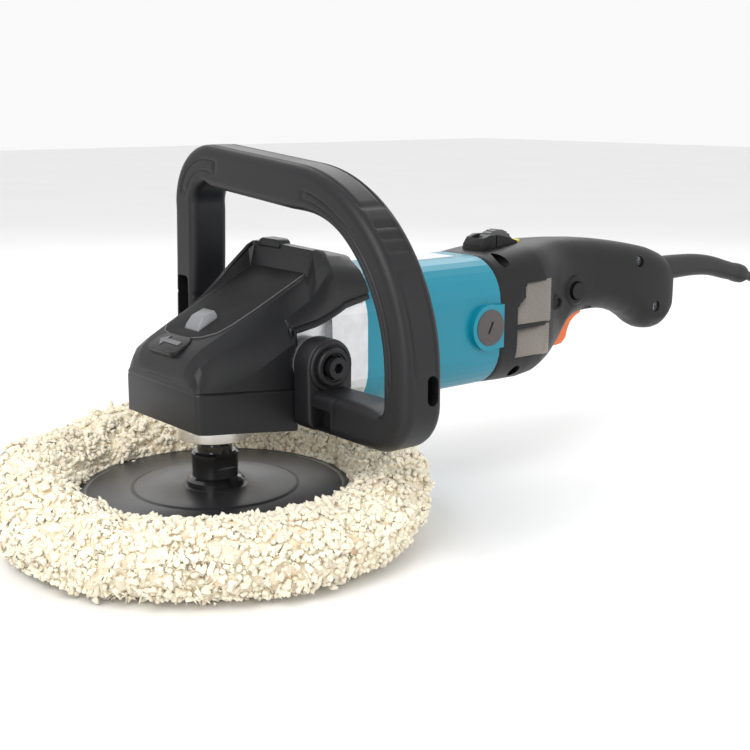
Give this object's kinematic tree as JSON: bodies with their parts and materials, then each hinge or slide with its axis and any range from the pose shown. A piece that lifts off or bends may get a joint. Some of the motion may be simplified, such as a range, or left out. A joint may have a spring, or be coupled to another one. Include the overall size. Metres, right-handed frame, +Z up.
{
  "type": "rotary polisher",
  "caption": "Two-handed rotary polisher with a loop handle, geared motor, shaft lock, trigger, speed dial, rubber backing pad and wool pad.",
  "frame": {"origin": "on the spindle axis, at the wool pad's working face", "axes": "+Z up along the spindle, +X back towards the rear handle and the cord, +Y to the tool's right-hand side"},
  "size_m": [0.845, 0.285, 0.2419],
  "materials": {
    "wool_pile": "cut lambswool pile",
    "hook_tape": "hook-and-loop tape",
    "pad_rubber": "smooth moulded rubber",
    "steel": "machined",
    "gear_steel": "cut and hardened",
    "bearing_steel": "ground",
    "cast_aluminium": "bare casting",
    "black_hub": "gloss black",
    "rubber_black": "matte",
    "lamination": "stacked laminations",
    "copper_wire": "enamelled copper wire",
    "copper_bar": "turned copper",
    "carbon": "pressed carbon",
    "brass_plate": "folded sheet",
    "fan_plastic": "moulded",
    "blue_plastic": "satin, blue-green",
    "cap_plastic": "satin",
    "label_silver": "blank foil label",
    "head_plastic": "fine-grained charcoal",
    "panel_gloss": "gloss black",
    "button_grey": "satin silver-grey",
    "handle_plastic": "fine-grained black",
    "mesh_metal": "woven mesh",
    "trigger_orange": "satin orange",
    "dial_grey": "knurled",
    "circuit": "potted board",
    "grip_rubber": "soft overmould",
    "cord_rubber": "flexible sheath"
  },
  "bodies": {
    "body": {"lower_spindle_bearing": "bearing_steel", "upper_spindle_bearing": "bearing_steel", "nose_seal": "rubber_black", "bearing_box": "cast_aluminium", "bearing_box_screws": "steel", "intermediate_bearings": "bearing_steel", "armature_bearings": "bearing_steel", "stator_core": "lamination", "field_coils": "copper_wire", "fan_baffle": "fan_plastic", "motor_housing": "blue_plastic", "motor_screws": "steel", "brush_holders": "brass_plate", "carbon_brushes": "carbon", "brush_caps": "cap_plastic", "name_plate": "label_silver", "gear_housing": "cast_aluminium", "bearing_plate": "cast_aluminium", "head_cover": "head_plastic", "cover_panel": "panel_gloss", "handle_shell_left": "handle_plastic", "handle_shell_right": "handle_plastic", "handle_screws": "steel", "vent_grilles": "mesh_metal", "trigger_pin": "steel", "switch_body": "fan_plastic", "speed_controller": "circuit", "cord_clamp": "fan_plastic", "cord_guard": "rubber_black", "mains_cord": "cord_rubber", "cord_coil": "cord_rubber", "coil_tie": "rubber_black", "plug": "cord_rubber", "loop_handle_core": "cast_aluminium", "loop_handle_grip": "grip_rubber", "loop_bracket_left": "grip_rubber", "loop_bracket_right": "grip_rubber", "loop_handle_bolts": "steel"},
    "spindle": {"wool_pad": "wool_pile", "hook_disc": "hook_tape", "backing_pad": "pad_rubber", "pad_lock_nut": "steel", "pad_hub": "black_hub", "spindle": "steel", "spindle_gear": "gear_steel"},
    "intermediate": {"intermediate_shaft": "steel", "spur_pinion": "gear_steel", "bevel_gear": "gear_steel"},
    "armature": {"armature_shaft": "steel", "bevel_pinion": "gear_steel", "armature_core": "lamination", "armature_windings": "copper_wire", "commutator": "copper_bar", "cooling_fan": "fan_plastic"},
    "shaft_lock": {"shaft_lock_button": "button_grey", "shaft_lock_pin": "steel", "shaft_lock_spring": "steel"},
    "trigger": {"trigger": "trigger_orange"},
    "lock_button": {"lock_button": "handle_plastic"},
    "speed_dial": {"speed_dial": "dial_grey"}
  },
  "joints": [
    {"name": "spindle_spin", "type": "hinge", "parent": "body", "child": "spindle", "pos_m": [0, 0, 0.06], "axis": [0, 0, 1], "continuous": true},
    {"name": "intermediate_spin", "type": "hinge", "parent": "body", "child": "intermediate", "pos_m": [0.0342, 0, 0.12], "axis": [0, 0, 1], "continuous": true},
    {"name": "armature_spin", "type": "hinge", "parent": "body", "child": "armature", "pos_m": [0.1, 0, 0.118], "axis": [1, 0, 0], "continuous": true},
    {"name": "shaft_lock_push", "type": "slide", "parent": "body", "child": "shaft_lock", "axis": [0, 0, -1], "range_m": [0, 0.0045], "stiffness_N_per_m": 600, "springref_m": -0.002, "deforming": ["shaft_lock_spring"]},
    {"name": "trigger_pull", "type": "hinge", "parent": "body", "child": "trigger", "pos_m": [0.328, 0, 0.117], "axis": [0, 1, 0], "range_deg": [0, 9], "stiffness_Nm_per_rad": 0.8, "springref_deg": -5.73},
    {"name": "lock_button_push", "type": "slide", "parent": "body", "child": "lock_button", "axis": [0, 1, 0], "range_m": [0, 0.003], "stiffness_N_per_m": 500, "springref_m": -0.002},
    {"name": "speed_dial_turn", "type": "hinge", "parent": "body", "child": "speed_dial", "pos_m": [0.241, 0, 0.1625], "axis": [0, 1, 0], "range_deg": [0, 270]}
  ],
  "couplings": [
    {"joint": "intermediate_spin", "follows": "spindle_spin", "ratio": -3.75},
    {"joint": "armature_spin", "follows": "spindle_spin", "ratio": 8.125}
  ]
}
